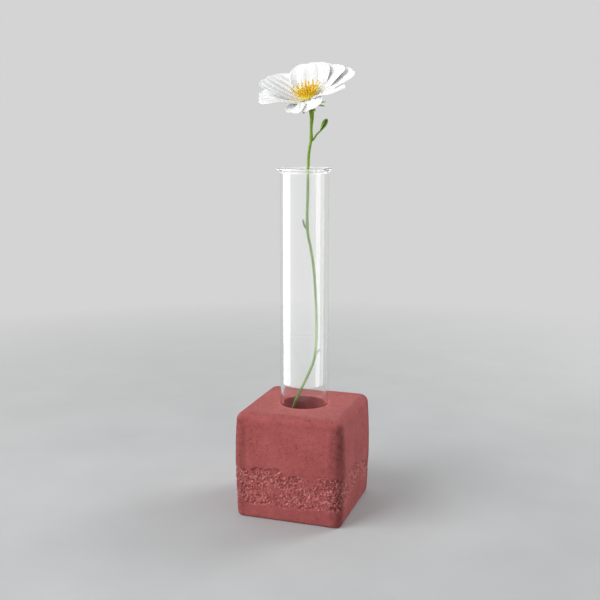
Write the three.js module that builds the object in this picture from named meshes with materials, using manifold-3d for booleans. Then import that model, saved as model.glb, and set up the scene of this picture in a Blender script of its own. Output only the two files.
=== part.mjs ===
// Bud vase: a cast cube-shaped block with a round socket in its top, a rimmed glass test tube that
// stands in the socket, and one white flower on a curved stem that stands in the tube.
//
// Units are millimetres, +Z is up. The origin is the centre of the block's underside and the
// block's four sides face along X and Y, so -Y is its front.
// Three rigid things come apart by lifting: the block, the tube, and the flower with all it carries.

import * as THREE from "three";
import { mergeVertices } from "three/addons/utils/BufferGeometryUtils.js";
import Module from "manifold-3d";

const wasm = await Module();
wasm.setup();

const radians = THREE.MathUtils.degToRad;

// ---------------------------------------------------------------- driving dimensions

const gap = 0.3; // between neighbouring pieces that touch in use

const block = {
  width: 58.4, // at mid-height, where the sides stand out furthest
  height: 56,
  bulge: 1.2, // that each side falls back from mid-height to the top and to the foot
  cornerRadius: 4.8, // of the four upright edges, at mid-height
  topRadius: 4.4,
  footRadius: 1.6,
  steps: 4,
};

const tube = {
  diameter: 25,
  length: 150,
  wall: 1.2,
  rimDiameter: 29.2,
  sides: 36,
};

const socket = {
  diameter: tube.diameter + 0.8,
  depth: 28,
  wornEdge: 0.7,
  sides: 36,
};

const stem = { radius: 0.8, sides: 8, steps: 72 };

const flower = {
  turn: 18.4, // degrees that the flower faces round from the block's front
  head: new THREE.Vector3(2.2, 11.0, 212.3), // where the petals spring from
  nod: 21, // degrees that the face tips forward
  lean: 14, // degrees that the face tips to its left
};

const disc = { neckRadius: 2.1, radius: 3.9, foot: -2.7, top: 3.6 };
const receptacle = { top: -3.0, bottom: -5.6, radius: 2.7 };
const petalRoot = disc.neckRadius + 0.5; // distance of a petal's root from the flower's axis
const petalThickness = 0.4;
const whorlStep = 0.8; // each whorl of petals springs this much lower than the one inside it

// Heights that follow from the ones above.
const tubeFoot = block.height - socket.depth + gap;
const tubeTop = tubeFoot + tube.length;
const tubeRadius = tube.diameter / 2;
const boreRadius = tubeRadius - tube.wall;

// ---------------------------------------------------------------- materials

function material(color, roughness, extra = {}) {
  return new THREE.MeshStandardMaterial({ color, roughness, metalness: 0, ...extra });
}

const castConcrete = material(0xa35856, 0.92);
const clearGlass = material(0xf4f8f7, 0.03, { transparent: true, opacity: 0.25 });
const petalWhite = material(0xf7f7f5, 0.6, { side: THREE.DoubleSide });
const discYellow = material(0xe2a51c, 0.75);
const antherYellow = material(0xd9a62a, 0.7);
const stemGreen = material(0x7d9c45, 0.55);
const leafGreen = material(0x5f8c35, 0.6);

// ---------------------------------------------------------------- shape helpers

// A closed three.js geometry as a manifold-3d solid.
function toSolid(geometry) {
  const bare = geometry.index ? geometry.toNonIndexed() : geometry.clone();
  bare.deleteAttribute("normal");
  bare.deleteAttribute("uv");
  const merged = mergeVertices(bare, 1e-4);
  return new wasm.Manifold(
    new wasm.Mesh({
      numProp: 3,
      vertProperties: merged.getAttribute("position").array,
      triVerts: new Uint32Array(merged.index.array),
    }),
  );
}

function toGeometry(solid) {
  const mesh = solid.getMesh();
  const geometry = new THREE.BufferGeometry();
  geometry.setAttribute("position", new THREE.BufferAttribute(mesh.vertProperties, 3));
  geometry.setIndex(new THREE.BufferAttribute(mesh.triVerts, 1));
  geometry.computeVertexNormals();
  return geometry;
}

// A solid of revolution about +Z. The profile's points are [radius, height], bottom to top.
function turned(profile, sides) {
  const points = profile.map(([radius, height]) => new THREE.Vector2(radius, height));
  return new THREE.LatheGeometry(points, sides).rotateX(Math.PI / 2);
}

// Points of an arc in a turned profile, about [centreRadius, centreHeight], angles in degrees.
function arc(centreRadius, centreHeight, radius, from, to, steps) {
  return Array.from({ length: steps + 1 }, (_, i) => {
    const angle = radians(from + ((to - from) * i) / steps);
    return [
      centreRadius + radius * Math.cos(angle),
      centreHeight + radius * Math.sin(angle),
    ];
  });
}

// A round rod that follows a smooth curve through the given points.
function rod(points, radius, sides, steps) {
  const path = new THREE.CatmullRomCurve3(points.map((p) => new THREE.Vector3(...p)));
  const section = new THREE.Shape(
    Array.from({ length: sides }, (_, i) => {
      const angle = (2 * Math.PI * i) / sides;
      return new THREE.Vector2(radius * Math.cos(angle), radius * Math.sin(angle));
    }),
  );
  return new THREE.ExtrudeGeometry(section, { steps, extrudePath: path });
}

// A thin closed slab around the middle surface at(s, t), with s from 0 to 1 and t from -1 to 1.
function slab(at, along, across, thickness) {
  const nudge = 1e-3;
  const point = (i, j, side) => {
    const s = i / along;
    const t = (2 * j) / across - 1;
    const ds = at(Math.min(s + nudge, 1), t).sub(at(Math.max(s - nudge, 0), t));
    const dt = at(s, Math.min(t + nudge, 1)).sub(at(s, Math.max(t - nudge, -1)));
    const normal = ds.cross(dt).normalize();
    return at(s, t).addScaledVector(normal, (side * thickness) / 2);
  };
  const positions = [];
  const quad = (a, b, c, d) => {
    for (const corner of [a, b, c, a, c, d]) positions.push(...corner.toArray());
  };
  for (let i = 0; i < along; i++) {
    for (let j = 0; j < across; j++) {
      quad(point(i, j, 1), point(i + 1, j, 1), point(i + 1, j + 1, 1), point(i, j + 1, 1));
      quad(point(i, j, -1), point(i, j + 1, -1), point(i + 1, j + 1, -1), point(i + 1, j, -1));
    }
    quad(point(i, 0, 1), point(i, 0, -1), point(i + 1, 0, -1), point(i + 1, 0, 1));
    quad(
      point(i, across, 1),
      point(i + 1, across, 1),
      point(i + 1, across, -1),
      point(i, across, -1),
    );
  }
  for (let j = 0; j < across; j++) {
    quad(point(0, j, 1), point(0, j + 1, 1), point(0, j + 1, -1), point(0, j, -1));
    quad(
      point(along, j, 1),
      point(along, j, -1),
      point(along, j + 1, -1),
      point(along, j + 1, 1),
    );
  }
  const geometry = new THREE.BufferGeometry();
  geometry.setAttribute("position", new THREE.Float32BufferAttribute(positions, 3));
  geometry.computeVertexNormals();
  return geometry;
}

function piece(name, geometry, surface) {
  const mesh = new THREE.Mesh(geometry, surface);
  mesh.name = name;
  return mesh;
}

// ---------------------------------------------------------------- block

// A level outline of the block, counter-clockwise, set in from the sides' furthest reach.
function blockOutline(inset, height) {
  const radius = block.cornerRadius - Math.min(inset, block.cornerRadius / 2);
  const reach = block.width / 2 - inset - radius;
  const points = [];
  for (let corner = 0; corner < 4; corner++) {
    for (let i = 0; i <= block.steps; i++) {
      const angle = radians(90 * (corner + i / block.steps));
      const [across, along] = [
        [reach, reach],
        [-reach, reach],
        [-reach, -reach],
        [reach, -reach],
      ][corner];
      points.push(
        new THREE.Vector3(
          across + radius * Math.cos(angle),
          along + radius * Math.sin(angle),
          height,
        ),
      );
    }
  }
  return points;
}

// The outlines from the foot to the top: rounded foot, swelling sides, rounded top edge.
function blockOutlines() {
  const { height, bulge, topRadius, footRadius, steps } = block;
  const fall = (z) => bulge * ((2 * z) / height - 1) ** 2;
  const outlines = [];
  const add = (z, rounding) => outlines.push(blockOutline(fall(z) + rounding, z));
  for (let i = 0; i <= steps; i++) {
    const angle = radians((90 * i) / steps);
    add(footRadius * (1 - Math.cos(angle)), footRadius * (1 - Math.sin(angle)));
  }
  const sideSteps = 6;
  for (let i = 1; i < sideSteps; i++) {
    add(footRadius + ((height - topRadius - footRadius) * i) / sideSteps, 0);
  }
  for (let i = 0; i <= steps; i++) {
    const angle = radians((90 * i) / steps);
    add(height - topRadius * (1 - Math.sin(angle)), topRadius * (1 - Math.cos(angle)));
  }
  return outlines;
}

// The block before its socket is cut: the outlines joined by quads and closed by two flat ends.
function blockBody() {
  const outlines = blockOutlines();
  const count = outlines[0].length;
  const positions = [];
  const triangle = (...corners) => corners.forEach((c) => positions.push(...c.toArray()));
  const foot = new THREE.Vector3(0, 0, 0);
  const top = new THREE.Vector3(0, 0, block.height);
  for (let j = 0; j < count; j++) {
    const k = (j + 1) % count;
    for (let i = 0; i + 1 < outlines.length; i++) {
      triangle(outlines[i][j], outlines[i][k], outlines[i + 1][k]);
      triangle(outlines[i][j], outlines[i + 1][k], outlines[i + 1][j]);
    }
    triangle(foot, outlines[0][k], outlines[0][j]);
    triangle(top, outlines.at(-1)[j], outlines.at(-1)[k]);
  }
  const geometry = new THREE.BufferGeometry();
  geometry.setAttribute("position", new THREE.Float32BufferAttribute(positions, 3));
  geometry.computeVertexNormals();
  return geometry;
}

// The block, less the blind socket and the socket's worn mouth.
function makeBlock() {
  const { height } = block;
  const radius = socket.diameter / 2;
  const above = 2;
  const hole = turned(
    [
      [0, height - socket.depth],
      [radius, height - socket.depth],
      [radius, height - socket.wornEdge],
      [radius + socket.wornEdge, height],
      [radius + socket.wornEdge, height + above],
      [0, height + above],
    ],
    socket.sides,
  );
  const solid = toSolid(blockBody()).subtract(toSolid(hole));
  return piece("block", toGeometry(solid), castConcrete);
}

// ---------------------------------------------------------------- glass tube

// Round bottom, straight wall, and a mouth that flares out into a fire-rounded rim.
function makeTube() {
  const bowlCentre = tubeFoot + tubeRadius;
  const lip = tube.wall / 2 + 0.15; // half the thickness of the rim's rounded edge
  const lipCentre = [tube.rimDiameter / 2 - lip, tubeTop - lip];
  const flareRadius = tube.rimDiameter / 2 - lip - tubeRadius;
  const innerFlare = flareRadius + tube.wall;
  const flareCentre = [tubeRadius + flareRadius, tubeTop - 2 * lip - flareRadius];
  const profile = [
    ...arc(0, bowlCentre, tubeRadius, -90, 0, 7),
    ...arc(...flareCentre, flareRadius, 180, 100, 4),
    ...arc(...lipCentre, lip, -80, 90, 5),
    ...arc(flareCentre[0], tubeTop - innerFlare, innerFlare, 100, 180, 4),
    ...arc(0, bowlCentre, boreRadius, 0, -90, 7),
  ];
  profile[0][0] = 0;
  profile[profile.length - 1][0] = 0;
  return piece("glass_tube", turned(profile, tube.sides), clearGlass);
}

// ---------------------------------------------------------------- stem and its side shoots

// The stem's line, foot to neck: it stands in the tube's round bottom, bends across to the far
// side, leans there and on the back of the mouth, and carries on up to the flower.
const stemLine = [
  [-8.2, -2.4, 35.6],
  [-8.2, -2.6, 41.0],
  [-7.4, -2.4, 48.0],
  [-5.1, -1.8, 55.8],
  [-2.3, -1.0, 62.2],
  [0.6, 0.2, 67.8],
  [3.6, 1.6, 74.2],
  [5.7, 3.6, 80.2],
  [6.5, 5.6, 88.4],
  [6.6, 7.0, 99.0],
  [6.2, 7.4, 109.8],
  [5.1, 7.8, 124.6],
  [3.5, 8.2, 135.8],
  [1.9, 8.6, 143.6],
  [1.4, 9.0, 152.8],
  [1.7, 9.4, 162.0],
  [1.9, 9.75, 178.0],
  [2.4, 11.6, 186.2],
  [3.4, 13.2, 192.3],
  [3.5, 14.0, 198.4],
  [3.8, 13.9, 203.4],
  [3.6, 13.15, 206.4],
];

const sideStalkLine = [
  [5.0, 13.1, 192.9],
  [6.3, 13.1, 194.8],
  [8.05, 13.0, 196.4],
];

const upperSpurLine = [
  [-0.2, 8.6, 148.6],
  [-0.5, 8.5, 149.8],
  [-0.8, 8.4, 151.4],
];

const lowerSpurLine = [
  [7.45, 4.2, 82.3],
  [7.8, 4.1, 82.7],
  [8.3, 4.0, 83.4],
];

function makeStem() {
  return piece("stem", rod(stemLine, stem.radius, stem.sides, stem.steps), stemGreen);
}

function makeTwig(name, line, radius) {
  return piece(name, rod(line, radius, 6, 6), stemGreen);
}

// A closed bud at the end of the side stalk, as long as the distance from its foot to its tip.
function makeBud() {
  const foot = new THREE.Vector3(8.35, 13.0, 196.8);
  const tip = new THREE.Vector3(11.6, 12.9, 202.7);
  const length = foot.distanceTo(tip);
  const width = 2.6;
  const outline = [
    [0, 0],
    [0.22, 0.02],
    [0.42, 0.22],
    [0.5, 0.48],
    [0.42, 0.74],
    [0.2, 0.94],
    [0, 1],
  ];
  const profile = outline.map(([r, h]) => [r * width, h * length]);
  const bud = piece("bud", turned(profile, 10), leafGreen);
  bud.position.copy(foot);
  const up = new THREE.Vector3(0, 0, 1);
  bud.quaternion.setFromUnitVectors(up, tip.clone().sub(foot).normalize());
  return bud;
}

// ---------------------------------------------------------------- flower head

// Each petal: azimuth round the flower's axis (0 is the flower's right, 90 its back), whorl (0 is
// innermost), length, width, and how steeply it rises at its root and at its tip, in degrees.
const petals = [
  { name: "petal_right", azimuth: 12, whorl: 2, length: 25, width: 15.5, root: 24, tip: 13 },
  { name: "petal_back_right", azimuth: 46, whorl: 1, length: 23.5, width: 20, root: 32, tip: 28 },
  { name: "petal_back", azimuth: 79, whorl: 0, length: 22.2, width: 18, root: 37, tip: 36 },
  { name: "petal_back_left", azimuth: 140, whorl: 1, length: 25.5, width: 20, root: 36, tip: 21 },
  { name: "petal_left", azimuth: 179, whorl: 2, length: 23, width: 17, root: 28, tip: 9 },
  { name: "petal_front_left", azimuth: 231, whorl: 3, length: 12.5, width: 9.5, root: 32, tip: -26 },
  { name: "petal_front", azimuth: 275, whorl: 2, length: 12.5, width: 11, root: 50, tip: -48 },
  { name: "petal_front_right", azimuth: 323, whorl: 0, length: 20, width: 13, root: 28, tip: 8 },
];

// A petal's width at s along it: narrow at the root, fan-shaped, and rounded off at the tip.
function petalWidth(petal, s) {
  const rootWidth = 2.0;
  const shoulder = 0.74;
  const rise = Math.sin((Math.PI / 2) * Math.min(1, s / shoulder)) ** 0.85;
  const beyond = Math.max(0, s - shoulder) / (1.15 * (1 - shoulder));
  return rootWidth + (petal.width - rootWidth) * rise * Math.sqrt(1 - beyond ** 2.4);
}

// The petal's middle surface. It grows along +X from its root; +Z is the flower's axis.
function petalSurface(petal) {
  const start = radians(petal.root);
  const turn = radians(petal.tip) - start;
  const cupDepth = 0.18;
  const toothDepth = 0.035 * petal.length;
  return (s, t) => {
    const angle = start + turn * s;
    const out = (petal.length * (Math.sin(angle) - Math.sin(start))) / turn;
    const up = (petal.length * (Math.cos(start) - Math.cos(angle))) / turn;
    const half = petalWidth(petal, s) / 2;
    const cup = cupDepth * half * t * t * Math.sin(Math.PI * Math.min(s, 0.9));
    const tooth = (toothDepth * (1 - Math.cos(3 * Math.PI * t)) * s ** 6) / 2;
    return new THREE.Vector3(
      petalRoot + out - Math.sin(angle) * cup - Math.cos(angle) * tooth,
      half * t,
      up + Math.cos(angle) * cup - Math.sin(angle) * tooth,
    );
  };
}

function makePetal(petal) {
  const shape = slab(petalSurface(petal), 14, 8, petalThickness);
  const made = piece(petal.name, shape, petalWhite);
  made.position.z = -whorlStep * petal.whorl;
  made.rotation.z = radians(petal.azimuth);
  return made;
}

// Green bracts under the petals, evenly spaced, each a narrow blade that droops to its tip.
const bracts = { count: 8, firstAzimuth: 16, length: 5.4, width: 1.5, thickness: 0.35, droop: 8 };

function makeBract(index) {
  const slope = Math.tan(radians(bracts.droop));
  const surface = (s, t) => {
    const half = (bracts.width / 2) * (1 - 0.75 * s * s);
    const out = bracts.length * s;
    return new THREE.Vector3(out, half * t, -slope * out * s);
  };
  const bract = new THREE.Group();
  const blade = piece(`bract_${index + 1}`, slab(surface, 5, 2, bracts.thickness), leafGreen);
  blade.position.set(receptacle.radius + gap, 0, receptacle.top - 0.35);
  bract.add(blade);
  bract.rotation.z = radians(bracts.firstAzimuth + (360 / bracts.count) * index);
  return bract;
}

// The swollen top of the stem that carries bracts and petals.
function makeReceptacle() {
  const { radius, top, bottom } = receptacle;
  const profile = [
    [0, bottom],
    [1.15, bottom],
    [1.45, bottom + 1.0],
    [radius - 0.3, bottom + 2.1],
    [radius, top - 0.3],
    [radius - 0.2, top],
    [0, top],
  ];
  return piece("receptacle", turned(profile, 16), leafGreen);
}

// The raised centre of the flower, narrow where the petals spring from and domed above them.
function discHeight(radius) {
  const shoulder = 2.2;
  const share = radius / disc.radius;
  return shoulder + (disc.top - shoulder) * Math.sqrt(Math.max(0, 1 - share * share));
}

function makeDisc() {
  const domeRadii = [3.6, 3.0, 2.2, 1.2];
  const profile = [
    [0, disc.foot],
    [disc.neckRadius, disc.foot],
    [disc.neckRadius, 0.3],
    [disc.radius - 0.2, 1.7],
    [disc.radius, 2.1],
    ...domeRadii.map((r) => [r, discHeight(r)]),
    [0, disc.top],
  ];
  return piece("flower_disc", turned(profile, 16), discYellow);
}

// Rings of stamens on the disc: how many, how far out they stand, their tilt and their length.
const stamenRings = [
  { count: 12, radius: 3.1, tilt: 48, length: 6.2 },
  { count: 8, radius: 2.0, tilt: 31, length: 5.2 },
  { count: 4, radius: 0.9, tilt: 12, length: 4.6 },
];

// One stamen: a fine filament with a plump anther at its end, standing along +Z.
function makeStamen(number, ring, turn) {
  const filament = 0.17;
  const anther = { radius: 0.46, length: 1.5 };
  const neck = ring.length - anther.length;
  const profile = [
    [0, 0],
    [filament, 0],
    [filament, neck],
    [anther.radius, neck + 0.35 * anther.length],
    [anther.radius * 0.8, neck + 0.8 * anther.length],
    [0, ring.length],
  ];
  const stamen = new THREE.Group();
  const stalk = piece(`stamen_${number}`, turned(profile, 6), antherYellow);
  stalk.rotation.y = radians(ring.tilt);
  stalk.position.set(ring.radius, 0, discHeight(ring.radius) + gap);
  stamen.add(stalk);
  stamen.rotation.z = turn;
  return stamen;
}

function makeStamens() {
  const made = [];
  stamenRings.forEach((ring, ringIndex) => {
    for (let i = 0; i < ring.count; i++) {
      const turn = (2 * Math.PI * (i + 0.5 * ringIndex)) / ring.count;
      made.push(makeStamen(made.length + 1, ring, turn));
    }
  });
  return made;
}

function makeHead() {
  const head = new THREE.Group();
  head.position.copy(flower.head);
  head.rotation.set(radians(flower.nod), radians(-flower.lean), 0);
  head.add(makeReceptacle(), makeDisc());
  for (const petal of petals) head.add(makePetal(petal));
  for (let i = 0; i < bracts.count; i++) head.add(makeBract(i));
  for (const stamen of makeStamens()) head.add(stamen);
  return head;
}

// ---------------------------------------------------------------- assembly

const vase = new THREE.Group();
vase.add(makeBlock(), makeTube());

const flowerGroup = new THREE.Group();
flowerGroup.rotation.z = radians(flower.turn);
flowerGroup.add(
  makeStem(),
  makeTwig("side_stalk", sideStalkLine, 0.5),
  makeBud(),
  makeTwig("upper_spur", upperSpurLine, 0.35),
  makeTwig("lower_spur", lowerSpurLine, 0.35),
  makeHead(),
);
vase.add(flowerGroup);

export default vase;
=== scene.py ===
"""Looks for the bud vase: a cast block, a glass test tube standing in it, and one white flower.

Lengths are in millimetres until a mesh is made, which is in metres. The part's frame has +Z up and
the block's front face towards -Y. The flower is drawn in a frame of its own, turned a little about
the tube's axis. Its head is drawn in another, on the end of the stem.
"""

import itertools
import math
import random

import bpy
import numpy as np
from mathutils import Matrix, Vector


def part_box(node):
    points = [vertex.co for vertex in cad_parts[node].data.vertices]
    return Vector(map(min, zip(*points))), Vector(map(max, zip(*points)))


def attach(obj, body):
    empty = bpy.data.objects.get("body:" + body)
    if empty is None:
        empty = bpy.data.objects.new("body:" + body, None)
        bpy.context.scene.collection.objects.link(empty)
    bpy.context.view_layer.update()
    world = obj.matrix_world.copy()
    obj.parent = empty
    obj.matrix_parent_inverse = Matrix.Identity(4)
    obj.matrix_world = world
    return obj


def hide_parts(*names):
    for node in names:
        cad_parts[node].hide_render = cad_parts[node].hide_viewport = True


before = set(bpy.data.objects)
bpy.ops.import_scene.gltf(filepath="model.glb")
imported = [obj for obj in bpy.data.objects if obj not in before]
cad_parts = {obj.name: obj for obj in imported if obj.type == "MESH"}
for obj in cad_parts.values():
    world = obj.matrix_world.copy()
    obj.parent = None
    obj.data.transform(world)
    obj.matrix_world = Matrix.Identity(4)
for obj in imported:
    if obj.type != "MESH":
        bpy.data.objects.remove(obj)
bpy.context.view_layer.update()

MM = 0.001


# ------------------------------------------------------------------ sizes from the frame

def box_mm(node):
    """A node's lowest and highest corners, in millimetres."""
    low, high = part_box(node)
    return np.array(low) / MM, np.array(high) / MM


BLOCK_HALF, _, BLOCK_TOP = box_mm("block")[1]
TUBE_FOOT = box_mm("glass_tube")[0][2]
RIM_RADIUS, _, RIM_TOP = box_mm("glass_tube")[1]

TUBE_RADIUS = 12.5
TUBE_WALL = 1.2
SOCKET_RADIUS = TUBE_RADIUS + 0.25
SOCKET_FLOOR = TUBE_FOOT - 0.3

FLOWER_TURN = math.radians(18.4)
HEAD_PLACE = Vector((2.2, 11.0, 212.3))
HEAD_NOD = math.radians(21)
HEAD_LEAN = math.radians(-14)
FLOWER_FRAME = Matrix.Rotation(FLOWER_TURN, 4, "Z")
HEAD_FRAME = (
    FLOWER_FRAME
    @ Matrix.Translation(HEAD_PLACE)
    @ Matrix.Rotation(HEAD_NOD, 4, "X")
    @ Matrix.Rotation(HEAD_LEAN, 4, "Y")
)


# ------------------------------------------------------------------ noise, the same each run

def hashed(cells, seed):
    """A number from 0 to 1 for each row of three whole numbers."""
    n = cells.astype(np.int64).astype(np.uint32)
    h = n[:, 0] * np.uint32(374761393) + n[:, 1] * np.uint32(668265263)
    h += n[:, 2] * np.uint32(2246822519) + np.uint32(seed * 3266489 + 977)
    h = (h ^ (h >> np.uint32(13))) * np.uint32(1274126177)
    h = (h ^ (h >> np.uint32(15))) * np.uint32(2654435761)
    return (h ^ (h >> np.uint32(16))) / 2.0**32


def smooth_noise(points, size, seed):
    """Values from -1 to 1 that change smoothly over about size."""
    scaled = points / size
    base = np.floor(scaled)
    share = scaled - base
    share = share * share * (3 - 2 * share)
    total = np.zeros(len(points))
    for corner in itertools.product((0, 1), repeat=3):
        weight = np.prod(np.where(corner, share, 1 - share), axis=1)
        total += weight * hashed(base + corner, seed)
    return 2 * total - 1


def layered_noise(points, size, layers, seed):
    """Smooth noise with finer layers on top, each half as large and half as strong."""
    total = sum(
        smooth_noise(points, size / 2**i, seed + i) / 2**i for i in range(layers)
    )
    return total / (2 - 0.5 ** (layers - 1))


def scattered_voids(points, spacing, share, radii, seed):
    """How deep each point lies in round voids scattered through space, from 0 to 1."""
    base = np.floor(points / spacing)
    depth = np.zeros(len(points))
    for step in itertools.product((-1, 0, 1), repeat=3):
        cell = base + step
        jitter = np.stack([hashed(cell, seed + k) for k in range(3)], axis=1)
        centre = (cell + 0.15 + 0.7 * jitter) * spacing
        radius = radii[0] + (radii[1] - radii[0]) * hashed(cell, seed + 3) ** 2
        away = np.linalg.norm(points - centre, axis=1) / radius
        present = hashed(cell, seed + 4) < share
        depth = np.maximum(depth, present * np.clip(1 - away * away, 0, 1))
    return np.sqrt(depth)


def eased(value, low, high):
    """0 below low, 1 above high, and a smooth step between."""
    share = np.clip((value - low) / (high - low), 0, 1)
    return share * share * (3 - 2 * share)


# ------------------------------------------------------------------ mesh helpers

def grid_faces(rows, columns, wrap):
    """Quads of a grid of points, with the last column joined to the first if it wraps."""
    span = columns if wrap else columns - 1
    faces = []
    for i in range(rows - 1):
        for j in range(span):
            k = (j + 1) % columns
            faces.append(
                (i * columns + j, i * columns + k, (i + 1) * columns + k, (i + 1) * columns + j)
            )
    return faces


def sheet_solid(middle, normal, half_thickness):
    """Points and faces of a thin closed solid round a grid of points."""
    rows, columns, _ = middle.shape
    count = rows * columns
    upper = (middle + normal * half_thickness).reshape(-1, 3)
    lower = (middle - normal * half_thickness).reshape(-1, 3)
    faces = [f[::-1] for f in grid_faces(rows, columns, wrap=False)]
    faces += [tuple(count + i for i in f[::-1]) for f in faces]
    rim = list(range(columns))
    rim += [i * columns + columns - 1 for i in range(1, rows)]
    rim += [(rows - 1) * columns + j for j in range(columns - 2, -1, -1)]
    rim += [i * columns for i in range(rows - 2, 0, -1)]
    for a, b in zip(rim, rim[1:] + rim[:1]):
        faces.append((a, b, count + b, count + a))
    return np.vstack([upper, lower]), faces


def make_piece(name, points, faces, surface, body, node, place=None):
    """A smooth-shaded mesh object that rides on a body and stands for a CAD node."""
    points = np.asarray(points, float)
    if place is not None:
        turn = np.array(place)
        points = points @ turn[:3, :3].T + turn[:3, 3]
    mesh = bpy.data.meshes.new(name)
    mesh.from_pydata((points * MM).tolist(), [], faces)
    mesh.validate()
    mesh.polygons.foreach_set("use_smooth", [True] * len(mesh.polygons))
    mesh.materials.append(surface)
    mesh.update()
    piece = bpy.data.objects.new(name, mesh)
    bpy.context.scene.collection.objects.link(piece)
    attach(piece, body)
    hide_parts(node)
    return piece


def add_layer(piece, name, values):
    """Give each point of the mesh a number that its material reads by name."""
    layer = piece.data.attributes.new(name, "FLOAT", "POINT")
    layer.data.foreach_set("value", np.asarray(values, float).ravel())


def turned(profile, sides, ribs=None):
    """Points and faces of a solid of revolution about +Z, from profile points [radius, height].

    A profile point at radius 0 becomes a pole. ribs(angle, index) scales the radius."""
    points = []
    rings = []
    for index, (radius, height) in enumerate(profile):
        if radius == 0:
            rings.append([len(points)])
            points.append((0, 0, height))
            continue
        ring = []
        for k in range(sides):
            angle = 2 * math.pi * k / sides
            scale = ribs(angle, index) if ribs else 1
            ring.append(len(points))
            points.append(
                (radius * scale * math.cos(angle), radius * scale * math.sin(angle), height)
            )
        rings.append(ring)
    return points, faces_between(rings, sides)


def faces_between(rings, sides):
    """Faces that join each ring of points to the next. A ring of one point is a pole."""
    faces = []
    for low, high in zip(rings, rings[1:]):
        for k in range(sides):
            m = (k + 1) % sides
            if len(low) == 1:
                faces.append((low[0], high[m], high[k]))
            elif len(high) == 1:
                faces.append((low[k], low[m], high[0]))
            else:
                faces.append((low[k], low[m], high[m], high[k]))
    return faces


def arc(centre, radius, start, end, steps):
    """Points [radius, height] of an arc in a profile, with its angles in degrees."""
    angles = np.radians(np.linspace(start, end, steps + 1))
    return [
        (centre[0] + radius * math.cos(a), centre[1] + radius * math.sin(a)) for a in angles
    ]


def smooth_path(knots, steps):
    """Points evenly spread along a smooth curve through the knots."""
    knots = np.asarray(knots, float)
    ends = np.vstack([2 * knots[0] - knots[1], knots, 2 * knots[-1] - knots[-2]])
    fine = []
    for a, b, c, d in zip(ends, ends[1:], ends[2:], ends[3:]):
        for share in np.linspace(0, 1, 24, endpoint=False):
            fine.append(
                0.5
                * (
                    2 * b
                    + (c - a) * share
                    + (2 * a - 5 * b + 4 * c - d) * share**2
                    + (3 * b - a - 3 * c + d) * share**3
                )
            )
    fine.append(knots[-1])
    fine = np.array(fine)
    along = np.concatenate([[0], np.cumsum(np.linalg.norm(np.diff(fine, axis=0), axis=1))])
    wanted = np.linspace(0, along[-1], steps + 1)
    return np.stack([np.interp(wanted, along, fine[:, k]) for k in range(3)], axis=1)


def swept(path, radius_at, sides):
    """Points and faces of a closed rod along a path. radius_at(share, angle) is its radius."""
    tangents = np.gradient(path, axis=0)
    tangents /= np.linalg.norm(tangents, axis=1, keepdims=True)
    side = np.cross(tangents[0], (0.3, 1.0, 0.2))
    points = [tuple(path[0])]
    rings = [[0]]
    for i, (centre, along) in enumerate(zip(path, tangents)):
        side = side - along * side.dot(along)
        side /= np.linalg.norm(side)
        other = np.cross(along, side)
        ring = []
        for k in range(sides):
            angle = 2 * math.pi * k / sides
            radius = radius_at(i / (len(path) - 1), angle)
            ring.append(len(points))
            points.append(
                tuple(centre + radius * (math.cos(angle) * side + math.sin(angle) * other))
            )
        rings.append(ring)
    rings.append([len(points)])
    points.append(tuple(path[-1]))
    return points, faces_between(rings, sides)


# ------------------------------------------------------------------ material helpers

def linear(red, green, blue):
    """A screen colour with parts from 0 to 255, as the linear colour that shaders take."""
    parts = [c / 255 for c in (red, green, blue)]
    return [c / 12.92 if c <= 0.04045 else ((c + 0.055) / 1.055) ** 2.4 for c in parts] + [1]


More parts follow.
